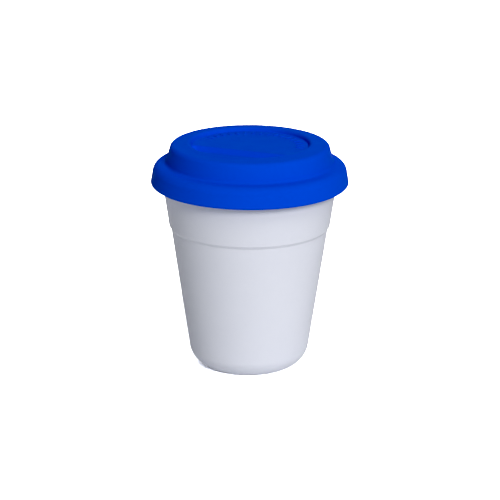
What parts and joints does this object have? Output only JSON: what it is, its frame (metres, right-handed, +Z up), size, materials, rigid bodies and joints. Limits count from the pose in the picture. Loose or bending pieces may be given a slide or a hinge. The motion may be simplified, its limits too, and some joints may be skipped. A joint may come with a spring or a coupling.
{
  "type": "reusable coffee cup",
  "caption": "Tapered double-walled drinking cup with a raised step around its wall and a push-on domed silicone lid with a recessed top, a sip well and a drinking slot.",
  "frame": {"origin": "centre of the foot ring, on the surface that the cup stands on", "axes": "+Z up along the cup's axis, -Y towards the drinker's side of the lid, where the sip well and slot are"},
  "size_m": [0.0922, 0.0922, 0.1079],
  "materials": {
    "shell_plastic": "satin white moulded polypropylene",
    "liner_plastic": "smooth white moulded polypropylene",
    "lid_silicone": "satin royal blue moulded silicone"
  },
  "bodies": {
    "cup": {"outer_shell": "shell_plastic", "inner_liner": "liner_plastic"},
    "lid": {"silicone_lid": "lid_silicone"}
  },
  "joints": [
    {"name": "lid_lift", "type": "slide", "parent": "cup", "child": "lid", "axis": [0, 0, 1], "range_m": [0, 0.05]}
  ]
}
